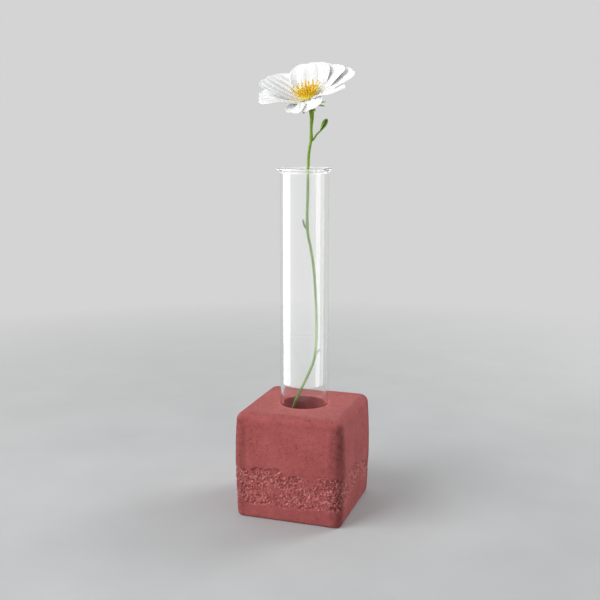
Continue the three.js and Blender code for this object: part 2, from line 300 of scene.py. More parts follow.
class Surface:
    """A material with one Principled shader, and short ways to add the nodes that drive it."""

    def __init__(self, name, **settings):
        self.material = bpy.data.materials.new(name)
        self.material.use_nodes = True
        self.nodes = self.material.node_tree.nodes
        self.links = self.material.node_tree.links
        self.shader = self.nodes["Principled BSDF"]
        for socket, value in settings.items():
            self.shader.inputs[socket.replace("_", " ")].default_value = value
        self.place = self.nodes.new("ShaderNodeTexCoord").outputs["Object"]

    def add(self, kind, **inputs):
        """A new node with its inputs set or linked by name."""
        node = self.nodes.new(kind)
        for socket, value in inputs.items():
            self.set(node.inputs[socket.replace("_", " ")], value)
        return node

    def set(self, socket, value):
        """Link a socket to another node's output, or give it a value of its own."""
        if isinstance(value, bpy.types.NodeSocket):
            self.links.new(value, socket)
        else:
            socket.default_value = value

    def stretched(self, scale):
        """The place on the object with its axes scaled."""
        return self.add("ShaderNodeMapping", Vector=self.place, Scale=scale).outputs[0]

    def noise(self, size, detail=2.0, roughness=0.5, place=None):
        """Noise from 0 to 1 whose features are about size millimetres across."""
        node = self.add(
            "ShaderNodeTexNoise",
            Vector=place or self.place,
            Scale=1 / (size * MM),
            Detail=detail,
            Roughness=roughness,
        )
        return node.outputs[0]

    def attribute(self, name):
        """The numbers that add_layer gave the mesh's points under this name."""
        node = self.nodes.new("ShaderNodeAttribute")
        node.attribute_name = name
        return node.outputs["Fac"]

    def ramp(self, value, low, high, to_low=0.0, to_high=1.0):
        """A straight ramp from to_low at low to to_high at high."""
        node = self.add("ShaderNodeMapRange")
        for index, entry in enumerate((value, low, high, to_low, to_high)):
            self.set(node.inputs[index], entry)
        return node.outputs[0]

    def math(self, kind, first, second):
        """Two values joined by one of the Math node's operations."""
        node = self.nodes.new("ShaderNodeMath")
        node.operation = kind
        self.set(node.inputs[0], first)
        self.set(node.inputs[1], second)
        return node.outputs[0]

    def mixed(self, share, first, second):
        """The colour first turning into second as share goes from 0 to 1."""
        node = self.nodes.new("ShaderNodeMix")
        node.data_type = "RGBA"
        self.set(node.inputs[0], share)
        self.set(node.inputs[6], first)
        self.set(node.inputs[7], second)
        return node.outputs[2]

    def bump(self, height, depth, normal=None):
        """A normal that raises the surface by up to depth millimetres where height is 1."""
        node = self.add("ShaderNodeBump", Height=height, Distance=depth * MM)
        if normal is not None:
            self.links.new(normal, node.inputs["Normal"])
        return node.outputs[0]

    def laid_over(self, tint, mask, strength, colour):
        """The tint turned towards a colour, by up to strength where the mask is 1."""
        return self.mixed(self.math("MULTIPLY", mask, strength), tint, colour)

    def see_through(self, share, colour):
        """Let light pass straight through the surface by a share, tinted with a colour."""
        clear = self.add("ShaderNodeBsdfTransparent", Color=colour)
        mix = self.nodes.new("ShaderNodeMixShader")
        self.links.new(share, mix.inputs[0])
        self.links.new(self.shader.outputs[0], mix.inputs[1])
        self.links.new(clear.outputs[0], mix.inputs[2])
        self.links.new(mix.outputs[0], self.nodes["Material Output"].inputs["Surface"])

    def paint(self, **sockets):
        """Set or link the shader's own sockets, and give back the material."""
        for socket, value in sockets.items():
            self.set(self.shader.inputs[socket.replace("_", " ")], value)
        return self.material


# ------------------------------------------------------------------ camera and light

VIEW_AZIMUTH = math.radians(18.42)
VIEW_ELEVATION = math.radians(10.43)
VIEW_DISTANCE = 485.5
VIEW_TARGET = Vector((-8.42, 17.94, 106.93))


def towards(azimuth, elevation):
    """The direction from the object to a place round it. Azimuth 0 is the block's front."""
    return Vector(
        (
            math.sin(azimuth) * math.cos(elevation),
            -math.cos(azimuth) * math.cos(elevation),
            math.sin(elevation),
        )
    )


def make_camera():
    """The camera, looking at VIEW_TARGET from VIEW_DISTANCE away."""
    data = bpy.data.cameras.new("camera")
    data.lens = 54
    data.sensor_width = 36
    data.clip_start = 0.01
    data.clip_end = 20
    camera = bpy.data.objects.new("camera", data)
    back = towards(VIEW_AZIMUTH, VIEW_ELEVATION)
    camera.location = (VIEW_TARGET + back * VIEW_DISTANCE) * MM
    camera.rotation_mode = "QUATERNION"
    camera.rotation_quaternion = (-back).to_track_quat("-Z", "Y")
    bpy.context.scene.collection.objects.link(camera)
    bpy.context.scene.camera = camera


def make_softbox(name, azimuth, elevation, distance, width, height, radiance, aim=110.0):
    """A rectangular soft light that faces a point on the vase's axis, aim above the floor.

    Its azimuth is in degrees counter-clockwise from the camera's, seen from above."""
    data = bpy.data.lights.new(name, "AREA")
    data.shape = "RECTANGLE"
    data.size = width * MM
    data.size_y = height * MM
    data.energy = radiance * math.pi * data.size * data.size_y
    light = bpy.data.objects.new(name, data)
    away = towards(VIEW_AZIMUTH + math.radians(azimuth), math.radians(elevation))
    light.location = (Vector((0, 0, aim)) + away * distance) * MM
    light.rotation_mode = "QUATERNION"
    light.rotation_quaternion = (-away).to_track_quat("-Z", "Y")
    light.visible_camera = False
    bpy.context.scene.collection.objects.link(light)
    return light


def make_world():
    """A soft pale surround, lighter behind the vase than behind the camera."""
    behind_vase, behind_camera = -0.6, 0.7
    world = bpy.data.worlds.new("studio")
    world.use_nodes = True
    nodes, links = world.node_tree.nodes, world.node_tree.links
    shown = nodes["Background"]
    place = nodes.new("ShaderNodeTexCoord")
    facing = nodes.new("ShaderNodeVectorMath")
    facing.operation = "DOT_PRODUCT"
    facing.inputs[1].default_value = towards(VIEW_AZIMUTH, 0)
    blend = nodes.new("ShaderNodeMapRange")
    mix = nodes.new("ShaderNodeMix")
    mix.data_type = "RGBA"
    links.new(place.outputs["Generated"], facing.inputs[0])
    links.new(facing.outputs["Value"], blend.inputs[0])
    blend.inputs[1].default_value = behind_vase
    blend.inputs[2].default_value = behind_camera
    links.new(blend.outputs[0], mix.inputs[0])
    mix.inputs[6].default_value = linear(211, 212, 211)
    mix.inputs[7].default_value = linear(158, 159, 160)
    links.new(mix.outputs[2], shown.inputs["Color"])
    shown.inputs["Strength"].default_value = 1.0
    bpy.context.scene.world = world


def make_floor():
    """A round pale tabletop that fades into the surround, so no edge or horizon shows."""
    rings, sides = 24, 96
    reach = 1500 * MM
    fade_start, fade_end = 140 * MM, 600 * MM
    points = [(0, 0, 0)]
    for ring in range(1, rings + 1):
        radius = reach * (ring / rings) ** 1.5
        points += [
            (radius * math.cos(a), radius * math.sin(a), 0)
            for a in np.linspace(0, 2 * math.pi, sides, endpoint=False)
        ]
    index = [[0]] + [list(range(1 + r * sides, 1 + (r + 1) * sides)) for r in range(rings)]
    mesh = bpy.data.meshes.new("studio_floor")
    mesh.from_pydata(points, [], faces_between(index, sides))
    paper = Surface("studio_paper", Roughness=1.0, Specular_IOR_Level=0.0)
    tone = paper.ramp(paper.noise(60, 3), 0.3, 0.7)
    tint = paper.mixed(tone, linear(176, 177, 178), linear(182, 183, 184))
    paper.paint(Base_Color=tint)
    away = paper.add("ShaderNodeVectorMath", Vector=paper.place)
    away.operation = "LENGTH"
    paper.see_through(paper.ramp(away.outputs["Value"], fade_start, fade_end), (1, 1, 1, 1))
    mesh.materials.append(paper.material)
    floor = bpy.data.objects.new("studio_floor", mesh)
    bpy.context.scene.collection.objects.link(floor)


def make_reflector_cards(mirror):
    """White cards in a ring round the front, which show only as reflections on one piece."""
    linked = bpy.data.collections.new("reflects_the_cards")
    linked.objects.link(mirror)
    distance = 160
    first, step = -104, 24
    width = 2 * distance * math.tan(math.radians(step / 2))
    low, high = 24, 400
    for number, radiance in enumerate((8.0, 9.0, 4.0, 3.4, 3.4, 3.4, 4.0, 7.5, 3.4)):
        azimuth = first + step * number
        card = make_softbox(
            f"card_{number + 1}", azimuth, 0, distance, width, high - low, radiance,
            aim=(low + high) / 2,
        )
        card.visible_diffuse = False
        card.visible_transmission = False
        card.light_linking.receiver_collection = linked


def make_studio():
    """Surround, floor and the two softboxes, shown without any film-like tone curve."""
    make_world()
    make_floor()
    make_softbox("key", -62, 28, 800, 640, 640, 5.4)
    make_softbox("back_right", 118, 22, 800, 360, 400, 8.0)
    bpy.context.scene.view_settings.view_transform = "Standard"


# ------------------------------------------------------------------ the cast block

CORNER_RADIUS = 4.8
TOP_EDGE_RADIUS = 4.4
FOOT_EDGE_RADIUS = 1.6
MOUTH_EDGE_RADIUS = 0.5
BULGE = 1.2  # how much further the sides reach at mid-height than at foot and top


def rounded_square(inset, straight_steps, corner_steps):
    """One level outline of the block, counter-clockwise, set in from its sides' reach."""
    radius = CORNER_RADIUS - min(inset, CORNER_RADIUS / 2)
    reach = BLOCK_HALF - inset - radius
    points = []
    for corner in range(4):
        turn = corner * math.pi / 2
        across = np.linspace(-reach, reach, straight_steps, endpoint=False)
        around = np.radians(np.linspace(-90, 0, corner_steps, endpoint=False))
        local = [(x, -reach - radius) for x in across]
        local += [(reach + radius * math.cos(a), -reach + radius * math.sin(a)) for a in around]
        for x, y in local:
            points.append(
                (x * math.cos(turn) - y * math.sin(turn), x * math.sin(turn) + y * math.cos(turn))
            )
    return np.array(points)


def block_levels(straight_steps, corner_steps):
    """The block's outlines in order, from the middle of its underside over its sides to the
    middle of the socket's floor, each as points with their height."""
    def level(outline, height):
        return np.column_stack([outline, np.full(len(outline), height)])

    def square(inset, height):
        fall = BULGE * (2 * height / BLOCK_TOP - 1) ** 2
        return rounded_square(inset + fall, straight_steps, corner_steps)

    levels = []
    underside = square(FOOT_EDGE_RADIUS, 0)
    for share in np.linspace(0.04, 0.97, 20):
        levels.append(level(underside * share, 0))
    for a in np.radians(np.linspace(0, 90, 7)):
        height = FOOT_EDGE_RADIUS * (1 - math.cos(a))
        levels.append(level(square(FOOT_EDGE_RADIUS * (1 - math.sin(a)), height), height))
    fine = np.arange(FOOT_EDGE_RADIUS + 0.4, 32, 0.32)
    coarse = np.arange(32, BLOCK_TOP - TOP_EDGE_RADIUS - 0.2, 0.45)
    for height in np.concatenate([fine, coarse]):
        levels.append(level(square(0, height), height))
    for a in np.radians(np.linspace(0, 90, 14)):
        height = BLOCK_TOP - TOP_EDGE_RADIUS * (1 - math.sin(a))
        levels.append(level(square(TOP_EDGE_RADIUS * (1 - math.cos(a)), height), height))
    edge = square(TOP_EDGE_RADIUS, BLOCK_TOP)
    direction = edge / np.linalg.norm(edge, axis=1, keepdims=True)
    mouth = SOCKET_RADIUS + MOUTH_EDGE_RADIUS
    for share in np.linspace(0, 1, 40)[1:-1]:
        levels.append(level(edge * (1 - share) + direction * mouth * share, BLOCK_TOP))
    for a in np.radians(np.linspace(0, 90, 6)):
        radius = mouth - MOUTH_EDGE_RADIUS * math.sin(a)
        height = BLOCK_TOP - MOUTH_EDGE_RADIUS * (1 - math.cos(a))
        levels.append(level(direction * radius, height))
    for height in np.arange(BLOCK_TOP - 1.4, SOCKET_FLOOR + 0.5, -0.9):
        levels.append(level(direction * SOCKET_RADIUS, height))
    for share in np.linspace(1, 0.08, 8):
        levels.append(level(direction * SOCKET_RADIUS * share, SOCKET_FLOOR))
    return np.array(levels)


def rough_band(points):
    """How rough the casting is: 1 inside the crumbly band round its lower half, 0 outside.

    The band has a ragged top and foot, each a height round the block, and smooth patches."""
    x, y, z = points.T
    around = np.arctan2(y, x)
    front_left = math.radians(-135)
    right_back = math.radians(40)
    top = 26.6 + 0.8 * np.cos(around - front_left)
    top -= 5.0 * np.exp(-(((around - right_back) / 0.5) ** 2))
    top -= 3.6 * np.exp(-(((x - 2) / 5) ** 2)) * (y < 0)
    top += 1.0 * smooth_noise(points, 13, 31) + 1.3 * smooth_noise(points, 4, 32)
    foot = 8.8 - 0.9 * np.cos(around - front_left)
    foot += 5.0 * np.exp(-((around / 0.62) ** 2))
    foot += 0.8 * smooth_noise(points, 9, 33) + 0.6 * smooth_noise(points, 2.4, 34)
    ragged = np.maximum(0.3, 0.5 + 0.9 * layered_noise(points, 1.8, 2, 36))
    upper = np.clip((top - z) / 3.0 + 0.5, 0, 1)
    lower = np.clip((z - foot) / 0.8 + 0.5, 0, 1)
    inside = eased(np.minimum(upper, lower), ragged - 0.25, ragged + 0.25)
    patches = eased(layered_noise(points, 8, 2, 35), 0.1, 0.38)
    return inside * (1 - 0.7 * patches)


def block_surface(points, normals):
    """The casting's relief as depths below its plain faces, with what its material reads.

    The underside and the socket stay plain."""
    x, y, z = points.T
    reach = np.hypot(x, y)
    outside = eased(reach, SOCKET_RADIUS + 0.1, SOCKET_RADIUS + 1.6)
    outside = np.where(z > SOCKET_FLOOR - 1, outside, 1)
    standing = eased(z, 0.0, 1.2)
    sides = eased(1 - np.abs(normals[:, 2]), 0.2, 0.9) * outside
    band = rough_band(points) * sides

    # Plain stretches have gentle waves, sand grain and pinholes. The band has crumbs that stand
    # out between cavities, over larger lumps.
    waves = 0.05 * (1 + smooth_noise(points, 11, 41)) + 0.02 * (1 + smooth_noise(points, 2.6, 42))
    grain = 0.022 * (1 + layered_noise(points, 0.8, 2, 43))
    pinholes = scattered_voids(points, 2.3, 0.5, (0.18, 0.46), 44)
    crumbs = layered_noise(points * (1, 1, 0.85), 0.68, 2, 51)
    lumps = smooth_noise(points, 3.4, 52)
    cavities = scattered_voids(points * (1, 1, 0.85), 0.8, 0.5, (0.24, 0.46), 53)

    plain = waves + grain + 0.34 * pinholes
    rough = 0.34 + waves + 0.12 * lumps - 0.55 * crumbs + 0.5 * cavities
    depth = (plain * (1 - band) + np.maximum(rough, 0) * band) * outside * standing
    # Pinholes and cavities are darkened in colour as painted shade, on top of their real depth.
    hollow_shade = np.maximum(pinholes * (1 - band), band * np.clip(cavities - 0.6 * crumbs, 0, 1))
    # Raised crumbs are lightened: pale aggregate, made brighter still as a painted highlight.
    crumb_and_highlight = band * np.clip(0.1 + 1.9 * crumbs - 0.9 * cavities, 0, 1)
    # The socket's wall is painted dark as shade, from near its floor to just under the mouth.
    inside = (1 - eased(reach, SOCKET_RADIUS - 0.2, SOCKET_RADIUS + 0.5)) * eased(z, 20, 27)
    inside = inside * (1 - eased(z, BLOCK_TOP - 0.6, BLOCK_TOP - 0.05))
    # The four upright edges are darkened as painted shade.
    corner = eased(np.abs(x * y), (BLOCK_HALF - 4.6) ** 2, (BLOCK_HALF - 3.0) ** 2) * sides
    layers = {
        "hollow_shade": hollow_shade * outside,
        "crumb_and_highlight": crumb_and_highlight,
        "socket": inside,
        "corner": corner,
        # painted shade: the upward faces are darkened
        "top": eased(normals[:, 2], 0.6, 0.95) * outside,
    }
    return depth, layers


def grid_normals(grid):
    """Outward unit normals of a closed band of outlines."""
    up = np.gradient(grid, axis=0)
    around = np.roll(grid, -1, axis=1) - np.roll(grid, 1, axis=1)
    normals = np.cross(around, up)
    return normals / np.maximum(np.linalg.norm(normals, axis=2, keepdims=True), 1e-9)


def concrete():
    """Cast concrete, coloured through with red oxide: matt, mottled and finely sandy, with painted
    shade and a painted highlight laid over it.
    """
    stone = Surface("cast_concrete", Specular_IOR_Level=0.2)
    red = linear(167, 86, 85)
    deep = linear(155, 75, 75)
    pale = linear(188, 109, 106)
    # painted shade for the top faces
    painted_top_shade = linear(132, 76, 75)
    # dark red: the dark specks' own colour, and painted shade for edges, hollows and socket
    shade = linear(78, 32, 32)
    # pale aggregate, lightened further as a painted highlight on raised crumbs
    light = linear(226, 150, 145)
    clouds = stone.ramp(stone.noise(13, 3), 0.35, 0.65)
    mottle = stone.ramp(stone.noise(2.4, 3, 0.6), 0.35, 0.68)
    sand = stone.ramp(stone.noise(0.42, 2, 0.7), 0.54, 0.72)
    specks = stone.ramp(stone.noise(0.75, 2, 0.6), 0.6, 0.7)
    crumb_and_highlight = stone.ramp(stone.noise(0.6, 2, 0.6), 0.35, 0.6)
    crumb_and_highlight = stone.math("MULTIPLY", crumb_and_highlight, stone.attribute("crumb_and_highlight"))
    tint = stone.mixed(clouds, red, deep)
    for mask, strength, colour in (
        (stone.attribute("top"), 0.52, painted_top_shade),
        (stone.attribute("corner"), 0.4, shade),
        (mottle, 0.28, pale),
        (sand, 0.28, pale),
        (specks, 0.62, shade),
        (crumb_and_highlight, 0.95, light),
        (stone.attribute("hollow_shade"), 0.44, shade),
        (stone.attribute("socket"), 0.92, shade),
    ):
        tint = stone.laid_over(tint, mask, strength, colour)
    fine = stone.bump(stone.noise(0.4, 3, 0.7), 0.2)
    coarse = stone.bump(stone.noise(1.1, 3, 0.6), 0.14, fine)
    roughness = stone.ramp(stone.noise(3, 2), 0.3, 0.7, 0.82, 0.96)
    return stone.paint(Base_Color=tint, Normal=coarse, Roughness=roughness)


def make_block():
    """The block, as one closed mesh with its relief pressed into it."""
    straight_steps, corner_steps = ((150, 26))
    grid = block_levels(straight_steps, corner_steps)
    normals = grid_normals(grid)
    rows, columns, _ = grid.shape
    points = grid.reshape(-1, 3)
    normals = normals.reshape(-1, 3)
    depth, layers = block_surface(points, normals)
    points = points - normals * depth[:, None]
    faces = grid_faces(rows, columns, wrap=True)
    first, last = len(points), len(points) + 1
    points = np.vstack([points, [(0, 0, 0)], [(0, 0, SOCKET_FLOOR)]])
    top = (rows - 1) * columns
    for j in range(columns):
        k = (j + 1) % columns
        faces.append((first, k, j))
        faces.append((last, top + j, top + k))
    piece = make_piece(
        "cast_block", points, faces, concrete(), "block", "block"
    )
    for name, values in layers.items():
        add_layer(piece, name, np.concatenate([values, [0, 0]]))


# ------------------------------------------------------------------ the glass tube

def clear_glass(name, **settings):
    """Clear glass that lets the lamps' light through to what stands in it."""
    glass = Surface(name, Base_Color=(0.997, 0.998, 0.998, 1), **settings)
    path = glass.nodes.new("ShaderNodeLightPath")
    glass.see_through(path.outputs["Is Shadow Ray"], (0.94, 0.95, 0.945, 1))
    return glass.material


def make_tube():
    """A thin-walled tube with a round bottom. Its lip flares out and is rounded by the flame."""
    low, top = TUBE_FOOT, RIM_TOP
    bowl = (0, low + TUBE_RADIUS)
    bore = TUBE_RADIUS - TUBE_WALL
    lip = 0.74
    whitened_depth = 2.0  # how far down from the top the glass is whitened, as a painted highlight on the lip
    flare = RIM_RADIUS - lip - TUBE_RADIUS
    inner_flare = flare + TUBE_WALL
    shoulder = (TUBE_RADIUS + flare, top - 2 * lip - flare)
    outer = arc(bowl, TUBE_RADIUS, -90, 0, 24)
    outer += [(TUBE_RADIUS, z) for z in np.linspace(low + 20, top - 8, 14)]
    outer += arc(shoulder, flare, 180, 100, 12)
    outer += arc((RIM_RADIUS - lip, top - lip), lip, -80, 90, 14)
    inner = arc((shoulder[0], top - inner_flare), inner_flare, 100, 180, 12)
    inner += [(bore, z) for z in np.linspace(top - 8, low + 20, 14)]
    inner += arc(bowl, bore, 0, -90, 24)
    profile = outer + inner
    profile[0] = (0, profile[0][1])
    profile[-1] = (0, profile[-1][1])
    points, faces = turned(profile, 144)
    wall = clear_glass("clear_glass", Roughness=0.0, IOR=1.5, Transmission_Weight=1.0)
    piece = make_piece("test_tube", points, faces, wall, "tube", "glass_tube")
    # The lip's glass lets less light through and shows white, a painted highlight.
    rim = clear_glass(
        "lip_glass_painted_white",
        Roughness=0.12,
        IOR=1.14,
        Transmission_Weight=0.82,
        Coat_Weight=1.0,
        Coat_Roughness=0.04,
    )
    piece.data.materials.append(rim)
    for face in piece.data.polygons:
        if face.center.z > (top - whitened_depth) * MM:
            face.material_index = 1
    return piece


# ------------------------------------------------------------------ stem, side shoots and bud

STEM_RADIUS = 0.8
STEM_LINE = [
    (-8.2, -2.4, 35.6),
    (-8.2, -2.6, 41.0),
    (-7.4, -2.4, 48.0),
    (-5.1, -1.8, 55.8),
    (-2.3, -1.0, 62.2),
    (0.6, 0.2, 67.8),
    (3.6, 1.6, 74.2),
    (5.7, 3.6, 80.2),
    (6.5, 5.6, 88.4),
    (6.6, 7.0, 99.0),
    (6.2, 7.4, 109.8),
    (5.1, 7.8, 124.6),
    (3.5, 8.2, 135.8),
    (1.9, 8.6, 143.6),
    (1.4, 9.0, 152.8),
    (1.7, 9.4, 162.0),
    (1.9, 9.75, 178.0),
    (2.4, 11.6, 186.2),
    (3.4, 13.2, 192.3),
    (3.5, 14.0, 198.4),
    (3.8, 13.9, 203.4),
    (3.5, 12.8, 208.0),
]
SIDE_STALK_LINE = [(3.9, 13.1, 191.6), (5.0, 13.1, 192.9), (6.3, 13.1, 194.8), (8.3, 13.0, 196.7)]
UPPER_SPUR_LINE = [(1.2, 8.7, 146.6), (0.1, 8.6, 148.0), (-0.5, 8.5, 149.8), (-0.8, 8.4, 151.4)]
LOWER_SPUR_LINE = [(6.2, 4.2, 81.4), (7.0, 4.2, 82.0), (7.8, 4.1, 82.7), (8.3, 4.0, 83.4)]
BUD_FOOT = Vector((8.1, 13.0, 196.4))
BUD_TIP = Vector((11.6, 12.9, 202.7))


def stem_skin():
    """Fresh green skin with faint lengthwise streaks. Painted shade darkens it inside the tube and
    turns it dark brown at the stem's foot in the socket; the spurs' broken ends are brown."""
    skin = Surface("stem_skin", Roughness=0.5, Specular_IOR_Level=0.3)
    patches = skin.ramp(skin.noise(9, 2), 0.35, 0.65)
    streaks = skin.noise(0.5, 2, 0.6, skin.stretched((1, 1, 0.12)))
    tint = skin.mixed(patches, linear(128, 158, 44), linear(106, 138, 34))
    tint = skin.mixed(skin.ramp(streaks, 0.5, 0.8), tint, linear(150, 176, 72))
    # painted shade: darker green inside the tube
    tint = skin.mixed(skin.attribute("shade_in_tube"), tint, linear(52, 82, 2))
    # painted shade at the stem's foot in the socket, and the brown of the spurs' broken ends
    tint = skin.mixed(skin.attribute("foot"), tint, linear(58, 44, 24))
    ridge = skin.bump(streaks, 0.08)
    return skin.paint(Base_Color=tint, Normal=ridge)


def leaf_skin():
    """The duller green of bud, calyx and bracts, dark in the bud's seam."""
    skin = Surface("leaf_skin", Roughness=0.55, Specular_IOR_Level=0.3)
    patches = skin.ramp(skin.noise(1.6, 3), 0.35, 0.65)
    veins = skin.noise(0.35, 2, 0.6)
    tint = skin.mixed(patches, linear(150, 186, 84), linear(112, 154, 54))
    tint = skin.mixed(skin.attribute("seam"), tint, linear(38, 64, 20))
    return skin.paint(Base_Color=tint, Normal=skin.bump(veins, 0.06))


def make_stem(skin):
    """The ridged stem. It swells at its joints and widens into the calyx."""
    joints = [(0.272, 0.012), (0.665, 0.012), (0.918, 0.01)]  # share of the length, and width

    def radius_at(share, angle):
        swell = sum(0.16 * math.exp(-(((share - at) / width) ** 2)) for at, width in joints)
        neck = 0.8 * max(0.0, (share - 0.94) / 0.06) ** 1.5
        foot = 0.12 * math.exp(-share / 0.02)
        ridges = 0.035 * math.cos(5 * angle) + 0.02 * math.cos(8 * angle + 1.0)
        return STEM_RADIUS - 0.06 + swell + neck - foot + ridges

    path = smooth_path(STEM_LINE, 260)
    points, faces = swept(path, radius_at, 24)
    piece = make_piece(
        "flower_stem", points, faces, skin, "flower", "stem", FLOWER_FRAME
    )
    heights = np.array(points)[:, 2]
    # The foot in the socket and the length inside the tube are darkened as painted shade.
    add_layer(piece, "foot", 1 - eased(heights, BLOCK_TOP - 4, BLOCK_TOP + 7))
    add_layer(piece, "shade_in_tube", 0.8 * (1 - eased(heights, RIM_TOP - 10, RIM_TOP)))


def make_shoots(skin):
    """The bud's stalk, and the two short spurs where side shoots broke off."""
    shoots = [
        ("bud_stalk", SIDE_STALK_LINE, 0.62, 0.42, "side_stalk"),
        ("shoot_spur_upper", UPPER_SPUR_LINE, 0.66, 0.4, "upper_spur"),
        ("shoot_spur_lower", LOWER_SPUR_LINE, 0.55, 0.36, "lower_spur"),
    ]
    for name, line, thick, thin, node in shoots:
        def radius_at(share, angle, thick=thick, thin=thin):
            end = math.sqrt(max(0.0, 1 - max(0.0, (share - 0.9) / 0.1) ** 2))
            return (thick + (thin - thick) * share**0.7) * (0.45 + 0.55 * end)

        points, faces = swept(smooth_path(line, 20), radius_at, 14)
        piece = make_piece(
            name, points, faces, skin, "flower", node, FLOWER_FRAME
        )
        tip = np.linalg.norm(np.array(points) - line[-1], axis=1)
        # A spur's broken end is brown, and the whole spur is darkened as painted shade inside the
        # tube.
        browned_and_shaded = 0.0 if node == "side_stalk" else 0.9
        add_layer(piece, "foot", browned_and_shaded * (1 - eased(tip, 0.3, 1.6)))
        add_layer(piece, "shade_in_tube", np.full(len(points), browned_and_shaded))


def make_bud(skin):
    """A closed bud: two leaf-like halves that meet in a seam, with a pointed tip."""
    outline = [
        (0.0, 0.0), (0.16, 0.0), (0.19, 0.06), (0.25, 0.17), (0.35, 0.3), (0.44, 0.43),
        (0.49, 0.56), (0.5, 0.67), (0.46, 0.79), (0.37, 0.89), (0.22, 0.96), (0.08, 0.995),
        (0.0, 1.0),
    ]
    length = (BUD_TIP - BUD_FOOT).length
    width = 2.5
    profile = [(r * width, h * length) for r, h in outline]

    def halves(angle, index):
        return (1 - 0.24 * abs(math.cos(angle)) ** 10) * (1 + 0.12 * abs(math.sin(angle)) ** 2)

    points, faces = turned(profile, 32, halves)
    turn = Vector((0, 0, 1)).rotation_difference(BUD_TIP - BUD_FOOT).to_matrix().to_4x4()
    place = FLOWER_FRAME @ Matrix.Translation(BUD_FOOT) @ turn
    place = place @ Matrix.Rotation(math.radians(-78), 4, "Z")
    piece = make_piece(
        "closed_bud", points, faces, skin, "flower", "bud", place
    )
    seam = [
        abs(math.cos(math.atan2(y, x))) ** 12 if math.hypot(x, y) > 0.05 else 0
        for x, y, z in points
    ]
    add_layer(piece, "seam", seam)


# ------------------------------------------------------------------ flower head

PETAL_ROOT = 2.6
PETAL_ROOT_WIDTH = 3.8
PETAL_FULLNESS = 1.22
LAYER_STEP = 0.55
PETALS = [
    # name, azimuth, layers down from the uppermost, length, width, rise at the root, rise at the
    # tip, twist at the tip, with angles in degrees
    ("petal_right", 12, 0.7, 24.5, 15.5, 24, 14, 5),
    ("petal_back_right", 46, 1.4, 23, 19, 30, 24, 0),
    ("petal_back", 79, 2.1, 22.4, 18, 37, 36, 0),
    ("petal_back_left", 144, 1, 25, 19, 33, 27, 4),
    ("petal_left", 181, 2, 23.5, 17, 28, 12, -6),
    ("petal_front_left", 231, 3, 12.5, 9.5, 32, -26, 0),
    ("petal_front", 275, 2, 12.5, 11, 50, -46, 22),
    ("petal_front_right", 323, 0, 20, 13, 27, 3, -4),
]


def petal_skin():
    """White petal tissue: soft, letting some light through, with faint grey veins and painted
    shade along its pleats.
    """
    skin = Surface(
        "petal_skin",
        Roughness=0.6,
        Specular_IOR_Level=0.3,
        Subsurface_Weight=0.5,
        Subsurface_Radius=(1, 1, 1),
        Subsurface_Scale=1.2 * MM,
    )
    groove = skin.attribute("groove")
    root = skin.attribute("root")
    # grey in the pleats' troughs: faint veins and painted shade
    tint = skin.mixed(groove, linear(247, 247, 246), linear(204, 208, 213))
    tint = skin.laid_over(tint, root, 0.5, linear(212, 214, 172))
    cells = skin.noise(0.4, 2, 0.6)
    return skin.paint(Base_Color=tint, Normal=skin.bump(cells, 0.03))


def petal_sheet(petal, s, t, seed):
    """The petal's middle surface before it is turned to its azimuth, and how grey its pleats'
    troughs are painted, as veins and shade.

    s goes from 0 at the root to 1 at the tip, and t from -1 to 1 across."""
    _, _, layer, length, width, root, tip, twist = petal
    width = width * PETAL_FULLNESS
    # The middle line bends steadily from its rise at the root to its rise at the tip.
    start = math.radians(root)
    turn = math.radians(tip) - start
    angle = start + turn * s
    out = length * (np.sin(angle) - math.sin(start)) / turn
    up = length * (math.cos(start) - np.cos(angle)) / turn
    # The width grows up to the shoulder and rounds off from there to the tip.
    shoulder = 0.68
    rise = np.sin(math.pi / 2 * np.minimum(1, s / shoulder)) ** 0.8
    beyond = np.maximum(0, s - shoulder) / (1.06 * (1 - shoulder))
    half = PETAL_ROOT_WIDTH + (width - PETAL_ROOT_WIDTH) * rise * np.sqrt(1 - beyond**2.3)
    half = half / 2

    # Pleats, a wavy edge, a cupped shape and a twist lift the sheet off its middle line.
    draw = random.Random(seed)
    phase = [draw.uniform(0, 2 * math.pi) for _ in range(6)]
    pleats = draw.choice((1.8, 2.2, 2.6))
    spread = t + 0.05 * np.sin(2.3 * t + phase[0])
    groove = 0.5 + 0.5 * np.cos(2 * math.pi * pleats * spread + phase[1])
    fine = 0.5 + 0.5 * np.cos(2 * math.pi * 5 * spread + phase[2])
    swell = np.sin(math.pi * np.clip(s, 0.03, 0.97)) ** 0.5
    relief = swell * (0.36 * (0.5 - groove) + 0.07 * (0.5 - fine)) * width / 18
    relief += 0.35 * s * np.abs(t) ** 3 * np.sin(7 * s + phase[3] + 2 * np.sign(t))
    relief += 0.25 * s**2 * np.sin(3.0 * t + phase[4])
    cup = 0.18 * half * t * t * np.sin(math.pi * np.minimum(s, 0.9)) + relief
    cup += half * t * s * math.tan(math.radians(twist))
    # Shallow notches in the tip.
    notch = 0.022 * length * (1 - np.cos(1.8 * math.pi * t + phase[5])) / 2
    notch = notch * s**6
    x = PETAL_ROOT + out - np.sin(angle) * cup - np.cos(angle) * notch
    z = up + np.cos(angle) * cup - np.sin(angle) * notch
    points = np.stack([x, half * t, z - LAYER_STEP * layer], axis=-1)
    # Troughs of the pleats are greyed: faint veins, and painted shade.
    shade = (0.45 * groove**3 + 0.55 * fine**4) * swell * (1 - 0.35 * s)
    return points, shade


